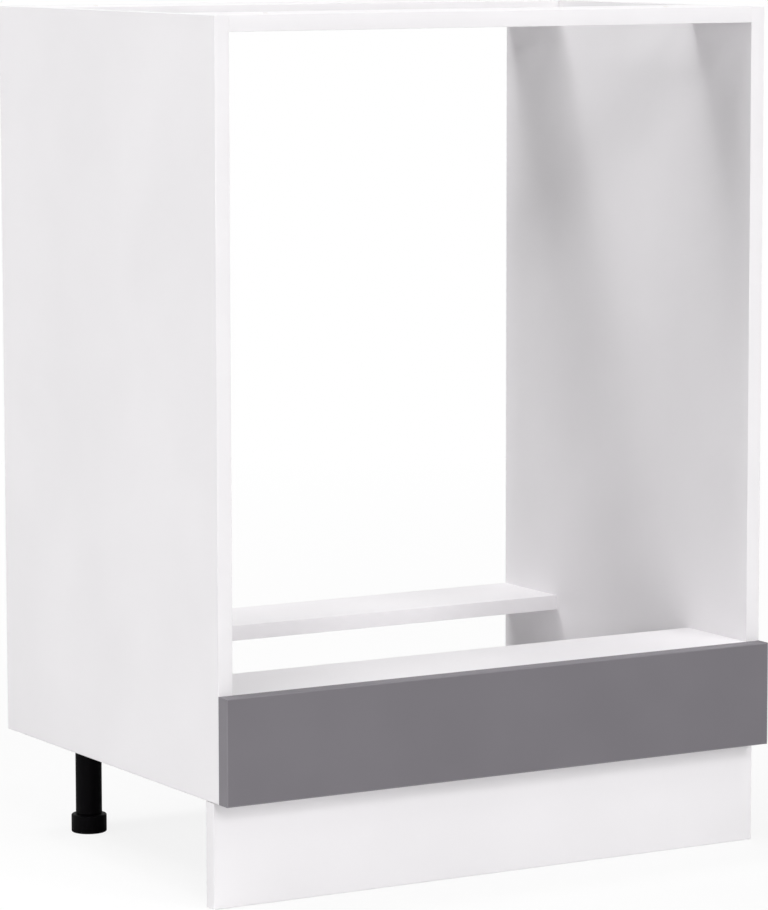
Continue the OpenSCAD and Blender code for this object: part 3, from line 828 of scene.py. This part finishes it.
def makeCamBolt(size):
    head, neck, shank, bevel = size["head"] / 2, size["neck"] / 2, size["shank"] / 2, size["bevel"]
    top = size["long"] / 2
    under = top - size["headHigh"]
    neckEnd, end = under - size["neckHigh"], top - size["shankEnd"]
    blank = lathe("boltBlank", [
        (0, top), (head - bevel, top), (head, top - bevel), (head, under + bevel), (head - bevel, under),
        (neck, under - bevel), (neck, neckEnd), (shank, neckEnd - (shank - neck)), (shank, end + bevel),
        (shank - bevel, end), (0, end)], smallRound)
    length = size["long"] - size["shankEnd"] + size["sunk"]
    thread = threadedRod("boltThread", size, length)
    return combine(blank, "UNION", moved(thread, (0, 0, end + size["sunk"] - length / 2)))


def makeCam(size):
    wide, radius, half, bevel = size["wide"], size["wide"] / 2, size["high"] / 2, size["bevel"]
    blank = lathe("camBlank", [(0, half), (radius - bevel, half), (radius, half - bevel),
                               (radius, bevel - half), (radius - bevel, -half), (0, -half)])
    reach = size["slot"] / 2
    mouth = lathe("camSlot", [*arc(0, 0, reach, -90, 0, 8), (reach, wide), (0, wide)], smallRound)
    moved(mouth, turned(90, "Y"), (0, 0, size["slotUp"] - half))
    bit = crossBit("camRecess", size["recess"], size["recessWide"], size["recessDeep"])
    return combine(blank, "DIFFERENCE", mouth, moved(bit, (0, 0, -half)))


def makeDowel(size):
    dowel = newPiece("dowelBlank", bpy.data.meshes.new("dowelBlank"))
    return growTree(dowel, dowelTree, Radius=size["wide"] / 2, Length=size["long"], Flutes=size["flutes"],
                    Flute=size["flute"], Bevel=size["bevel"], Around=size["perFlute"] * size["flutes"],
                    Rings=size["rings"])


def setDown(node, original, slot, turn=None):
    # copies of the original at each of the node's places, with its Z towards the wider end;
    # a screw's recess stands at another angle each time
    spots, axes, sides = [], [], []
    for i, solid in enumerate(hardware[node]):
        axis = solid["axis"]
        middle = (solid["low"] + solid["high"]) / 2
        spots.append(middle)
        if turn is None:                                # a cam faces down, its slot towards the near side
            axes.append(unit(2))
            sides.append(unit(0, math.copysign(1, middle.x)))
        else:
            axes.append(unit(axis, solid["wideEnd"]))
            sides.append(Matrix.Rotation(turn * i, 3, axes[-1]) @ unit((axis + 1) % 3))
    piece = pointSet(camel(node), spots, axis=axes, side=sides)
    growTree(piece, copyTree, Piece=original, Finish=finishes[slot])
    finishPiece(piece, node, slot)


screw, camBolt = makeScrew(screwSizes), makeCamBolt(boltSizes)
cam, dowel = makeCam(camSizes), makeDowel(dowelSizes)
for node in screwNodes:
    setDown(node, screw, "zinc_steel", turnEach["screws"])
setDown("cam_bolts", camBolt, "zinc_steel", turnEach["bolts"])
setDown("dowels", dowel, "beech", turnEach["dowels"])
setDown("cams", cam, "die_cast_zinc")
for original in (screw, camBolt, cam, dowel):
    bpy.data.objects.remove(original)
print("stage: screws, cams, bolts and dowels set in")


# Legs: a plate with a sleeve, a tube, a threaded stem inside it and a round foot on the stem's spigot

legs = [node[:-len("_foot")] for node in frame["nodes"] if node.endswith("_foot")]
footSizes = {
    "wide": 35 * mm, "lowRound": 1.4 * mm, "highRound": 1.6 * mm, "bore": 12.1 * mm, "boreFloor": 4 * mm,
    "boreBevel": 0.5 * mm, "hollow": 24 * mm, "hollowDeep": 1.2 * mm,
}
stemSizes = {
    "wide": 18 * mm, "thread": 1.3 * mm, "pitch": 4 * mm, "fade": 3 * mm, "tip": 1 * mm, "blunt": 1.0,
    "around": 48, "rings": 120, "sunk": 1 * mm, "long": 60 * mm, "spigot": 12 * mm, "spigotBevel": 0.8 * mm,
}
tubeSizes = {
    "wide": 26 * mm, "bore": 18.1 * mm, "topWall": 6 * mm, "round": 0.8 * mm, "mouth": 0.6 * mm,
    "partingLine": 0.12 * mm, "lineStart": 3 * mm, "lineEnd": 62 * mm,
}
plateSizes = {
    "side": 60 * mm, "thick": 3 * mm, "corner": 8 * mm, "bevel": 0.4 * mm, "sleeve": 34 * mm,
    "sleeveSunk": 0.5 * mm, "socket": 26.1 * mm, "rib": 2 * mm, "ribDeep": 9 * mm, "ribSetback": 2 * mm,
    "ribSunk": 0.2 * mm, "ribIn": 1 * mm, "ribBevel": 0.2 * mm, "hole": 4 * mm, "holeIn": 8 * mm,
    "overcut": 1 * mm,
}


def makeFoot(name, low, high, size):
    r, bore, hollow, deep = size["wide"] / 2, size["bore"] / 2, size["hollow"] / 2, size["hollowDeep"]
    a, b, c = size["lowRound"], size["highRound"], size["boreBevel"]
    floor = low + size["boreFloor"]
    return lathe(name, [
        (0, low + deep), (hollow - deep, low + deep), (hollow, low), *arc(r - a, low + a, a, -90, 0),
        *arc(r - b, high - b, b, 0, 90), (bore + c, high), (bore, high - c), (bore, floor), (0, floor)],
        largeRound)


def makeStem(name, low, high, size):
    shoulder = high - size["long"]
    end = shoulder + size["sunk"]
    spigot, bevel = size["spigot"] / 2, size["spigotBevel"]
    pin = lathe(name, [(0, low), (spigot - bevel, low), (spigot, low + bevel), (spigot, end), (0, end)],
                size["around"])
    rod = threadedRod("stemThread", size, size["long"])
    return combine(pin, "UNION", moved(rod, (0, 0, shoulder + size["long"] / 2)))


def makeTube(name, low, high, size):
    r, bore = size["wide"] / 2, size["bore"] / 2
    rim, mouth, floor = size["round"], size["mouth"], high - size["topWall"]
    lineLow, lineHigh = low + size["lineStart"], low + size["lineEnd"]
    tube = lathe(name, [
        (0, high), (r - rim, high), (r, high - rim), (r, lineHigh + mouth), (r, lineHigh), (r, lineLow),
        (r, lineLow - mouth), *arc(r - rim, low + rim, rim, 0, -90, 4), (bore + mouth, low),
        (bore, low + mouth), (bore, floor), (0, floor)], largeRound)
    for point in tube.data.vertices:                    # the mould's parting line, on two sides
        x, y, z = point.co
        if abs(y) < weld and abs(x) > r - weld and lineLow - weld < z < lineHigh + weld:
            point.co.x += math.copysign(size["partingLine"], x)
    return tube


def makePlate(name, low, high, size):
    half, sleeve, socket = size["side"] / 2, size["sleeve"] / 2, size["socket"] / 2
    under = high - size["thick"]
    plate = prism(name, roundedBox(half, half, size["corner"], 8), under, high, size["bevel"])
    wall = sleeve - socket
    lip, chamfer, top = wall / 3, wall / 4, under + size["sleeveSunk"]
    ring = lathe("sleeve", [
        (0, top), (sleeve, top), *arc(sleeve - lip, low + lip, lip, 0, -90, 4), (socket + chamfer, low),
        (socket, low + chamfer), (socket, under), (0, under)], largeRound)
    ribIn, ribTop, ribEnd = sleeve - size["ribIn"], under + size["ribSunk"], under - size["ribDeep"]
    rib = [(half - size["ribSetback"], ribTop), (ribIn, ribTop), (ribIn, ribEnd), (sleeve, ribEnd)]
    ribs = [moved(prism(f"rib{i}", rib, -size["rib"] / 2, size["rib"] / 2, size["ribBevel"]),
                  turned(90, "X"), turned(90 * i, "Z")) for i in range(4)]
    at, over = half - size["holeIn"], size["overcut"]
    holes = [moved(peg("plateHole", size["hole"], under - over, high + over), (x, y, 0))
             for x in (-at, at) for y in (-at, at)]
    return combine(combine(plate, "UNION", ring, *ribs), "DIFFERENCE", *holes)


for part, make, size in (("foot", makeFoot, footSizes), ("leg_stem", makeStem, stemSizes),
                         ("leg_tube", makeTube, tubeSizes), ("leg_plate", makePlate, plateSizes)):
    firstLow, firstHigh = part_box(f"{legs[0]}_{part}")
    original = make(part, firstLow.z, firstHigh.z, size).data
    for leg in legs:
        node = f"{leg}_{part}"
        low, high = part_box(node)
        piece = newPiece(camel(node), original.copy())
        moved(piece, ((low.x + high.x) / 2, (low.y + high.y) / 2, 0))
        finishPiece(piece, node, "black_plastic")
    bpy.data.objects.remove(bpy.data.objects[part])
print("stage: legs made,", len(legs))


# Angle brackets of the front panel

bracketSizes = {
    "arm": 25 * mm, "wide": 20 * mm, "thick": 2 * mm, "bend": 1 * mm, "hole": 4 * mm, "holeAt": 16 * mm,
    "bevel": 0.2 * mm,
}


def makeBracket(name, size):
    arm, thick, bend = size["arm"], size["thick"], size["bend"] + size["thick"]
    outline = [*arc(bend, bend, bend, 180, 270), (arm, 0), (arm, thick),
               *arc(bend, bend, size["bend"], 270, 180), (thick, arm), (0, arm)]
    bracket = prism(name, outline, -size["wide"] / 2, size["wide"] / 2, size["bevel"])
    moved(bracket, turned(90, "Y"), turned(90, "X"))    # the outline's X along +Y and its Y along +Z
    holes = [moved(peg("bracketHole", size["hole"], -thick, 2 * thick), turned(turn, "X"), place)
             for turn, place in ((0, (0, size["holeAt"], 0)), (-90, (0, 0, size["holeAt"])))]
    return combine(bracket, "DIFFERENCE", *holes)


brackets = [node for node in frame["nodes"] if node.endswith("_bracket")]
for node in brackets:
    low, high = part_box(node)
    standsUp = node.startswith("lower")                 # an upper one hangs under its board
    piece = makeBracket(camel(node), bracketSizes)
    if not standsUp:
        moved(piece, Matrix.Scale(-1, 4, (0, 0, 1)))
        piece.data.flip_normals()
    moved(piece, ((low.x + high.x) / 2, low.y, low.z if standsUp else high.z))
    finishPiece(piece, node, "zinc_steel")
print("stage: brackets bent,", len(brackets))


# Plinth clips: a foot plate screwed to the plinth, and two jaws that grip a front leg's tube

clipSizes = {
    "plate": 3 * mm, "corner": 4 * mm, "bevel": 0.35 * mm, "jawHigh": 20 * mm, "seat": 13.3 * mm,
    "wall": 3 * mm, "past": 8 * mm, "lead": 3 * mm, "reach": 33 * mm, "windowBevel": 0.1 * mm,
    "hole": 4 * mm, "holeUp": 17 * mm, "overcut": 1 * mm,
}


def jawOutline(size):
    # seen from above, with the plinth's back at Y = 0 and the leg's axis at Y = reach
    seat, outer, reach, lead = size["seat"], size["seat"] + size["wall"], size["reach"], size["lead"]
    tip = reach + size["past"]
    meet = math.degrees(math.acos(seat / outer))        # where the outer round leaves the straight wall
    right = [(seat, 0), *arc(0, reach, outer, -meet, 0), (outer, tip), (outer + lead, tip + lead),
             (seat + lead, tip + lead), (seat, tip), *arc(0, reach, seat, 0, -90, 16)]
    left = [(-x, y) for x, y in reversed(right[:-1])]
    return right + left


def makeClip(name, low, high, size):
    middle, level, thick = (low.x + high.x) / 2, (low.z + high.z) / 2, size["plate"]
    halfWide, halfHigh = (high.x - low.x) / 2, (high.z - low.z) / 2
    outline = roundedBox(halfWide, halfHigh, size["corner"], 6)
    plate = moved(prism(name, outline, -thick, 0, size["bevel"]), turned(90, "X"))
    jaws = prism("jaws", jawOutline(size), -size["jawHigh"] / 2, size["jawHigh"] / 2, size["bevel"])
    hollow = size["seat"] - size["wall"]
    windowEnd = size["reach"] - size["seat"] - size["wall"]
    opening = [(-hollow, thick), (hollow, thick), (hollow, windowEnd), (-hollow, windowEnd)]
    combine(jaws, "DIFFERENCE", prism("window", opening, -halfHigh, halfHigh, size["windowBevel"]))
    holes = [moved(peg("clipHole", size["hole"], -size["overcut"], 2 * thick), turned(-90, "X"), (0, 0, z))
             for z in (-size["holeUp"], size["holeUp"])]
    clip = combine(combine(plate, "UNION", jaws), "DIFFERENCE", *holes)
    return moved(clip, (middle, low.y, level))


clips = [node for node in frame["nodes"] if node.endswith("_plinth_clip")]
for node in clips:
    finishPiece(makeClip(camel(node), *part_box(node), clipSizes), node, "black_plastic")
print("stage: plinth clips made,", len(clips))


# Camera, floor and light

view = {
    "place": (-2.18142, -3.68814, 0.91524), "right": 30.61, "down": 7.13, "roll": -0.08, "lens": 174.63,
    "sensor": 36,
}                                    # degrees to the right of +Y, below level, and about the line of sight
floorSizes = {
    "radius": 40.0, "steps": 128, "below": 0.05 * mm, "light": (205, 205, 205), "dark": (203, 203, 203),
    "cloud": 0.3, "seen": (243, 243, 243), "shadow": 0.14, "fadeFrom": 0.8, "fadeTo": 3.0,
}
skyLight = 0.03                      # what the white surroundings give to the object; 1 would be white
lamps = {                            # degrees around from the front, degrees up, side of the square, watts
    "frontLowLamp": (0, 11, 2.8, 199.0),
    "frontLamp": (20, 24, 2.4, 244.0),
    "frontLeftLamp": (340, 32, 1.8, 169.0),
    "frontHighLamp": (30, 50, 3.8, 136.0),
    "cornerLowLamp": (320, 5, 1.4, 131.0),
    "leftLowLamp": (270, 5, 1.4, 228.0),
    "leftHighLamp": (285, 60, 4.0, 160.0),
    "leftMiddleLamp": (255, 52, 2.8, 154.0),
    "backLeftLamp": (240, 50, 2.8, 77.0),
    "backHighLamp": (210, 70, 2.8, 308.0),
    "backLowLamp": (180, 8, 4.0, 160.0),
    "rightLowLamp": (90, 8, 4.0, 200.0),
}
lampDistance = 10.0


def placeCamera(view):
    camera = newPiece("camera", bpy.data.cameras.new("camera"))
    camera.data.lens = view["lens"]
    camera.data.sensor_width = view["sensor"]
    aim = turned(-view["right"], "Z") @ turned(90 - view["down"], "X") @ turned(view["roll"], "Z")
    camera.matrix_world = Matrix.Translation(view["place"]) @ aim
    bpy.context.scene.camera = camera


def eitherOf(tree, share, first, second):
    # one shader or the other, or a share of both
    return firstOf(tree, "ShaderNodeMixShader", {0: share, 1: first, 2: second})


def makeFloor(size):
    # casts back light as a pale floor does; to the camera it is white, with a trace of the object's shadow
    floor = lathe("floor", [(0, -size["below"]), (size["radius"], -size["below"])], size["steps"])
    if floor.data.polygons[0].normal.z < 0:
        floor.data.flip_normals()
    material, tree, surface, place = newMaterial("Pale floor")
    tree.nodes.remove(surface)
    output = tree.nodes["Material Output"]
    cloud = noise(tree, place, size["cloud"])
    pale = mixed(tree, cloud, linear(size["light"]), linear(size["dark"]))
    diffuse = firstOf(tree, "ShaderNodeBsdfDiffuse", {"Color": pale})
    shaded = firstOf(tree, "ShaderNodeBsdfDiffuse", {"Color": linear(size["seen"])})
    white = firstOf(tree, "ShaderNodeEmission", {"Color": (1, 1, 1, 1), "Strength": 1.0})
    distance = addNode(tree, "ShaderNodeVectorMath", {0: place}, operation="LENGTH").outputs["Value"]
    near = remap(tree, distance, size["fadeFrom"], size["fadeTo"], size["shadow"], 0.0)
    seen = eitherOf(tree, near, white, shaded)
    fromBelow = addNode(tree, "ShaderNodeNewGeometry").outputs["Backfacing"]
    clear = firstOf(tree, "ShaderNodeBsdfTransparent")
    seenAll = eitherOf(tree, fromBelow, seen, clear)
    byCamera = addNode(tree, "ShaderNodeLightPath").outputs["Is Camera Ray"]
    tree.links.new(eitherOf(tree, byCamera, diffuse, seenAll), output.inputs["Surface"])
    floor.data.materials.append(material)


def makeSky(strength):
    world = bpy.data.worlds.new("Studio")
    world.use_nodes = True
    bpy.context.scene.world = world
    tree = world.node_tree
    path = addNode(tree, "ShaderNodeLightPath").outputs
    seen = calc(tree, "MAXIMUM", calc(tree, "MAXIMUM", path["Is Camera Ray"], path["Is Glossy Ray"]),
                path["Is Transmission Ray"])
    white = tree.nodes["Background"]
    white.inputs["Color"].default_value = (1, 1, 1, 1)
    white.inputs["Strength"].default_value = 1.0
    soft = firstOf(tree, "ShaderNodeBackground", {"Color": (1, 1, 1, 1), "Strength": strength})
    both = eitherOf(tree, seen, soft, white.outputs[0])
    tree.links.new(both, tree.nodes["World Output"].inputs["Surface"])


def hangLamp(name, around, up, side, power):
    light = bpy.data.lights.new(name, "AREA")
    light.shape = "SQUARE"
    light.size = side
    light.energy = power
    lamp = newPiece(name, light)
    middle = (cadBox[0] + cadBox[1]) / 2
    towards = turned(around, "Z") @ turned(-up, "X") @ Vector((0, -1, 0))
    lamp.matrix_world = (Matrix.Translation(middle + towards * lampDistance)
                         @ towards.to_track_quat("Z", "Y").to_matrix().to_4x4())
    lamp.visible_camera = False
    lamp.visible_glossy = False      # a soft studio: gloss shows the white surroundings and no lamp


placeCamera(view)
makeFloor(floorSizes)
makeSky(skyLight)
for name, lamp in lamps.items():
    hangLamp(name, *lamp)
bpy.context.scene.view_settings.view_transform = "Standard"
print("stage: camera, floor and light set")
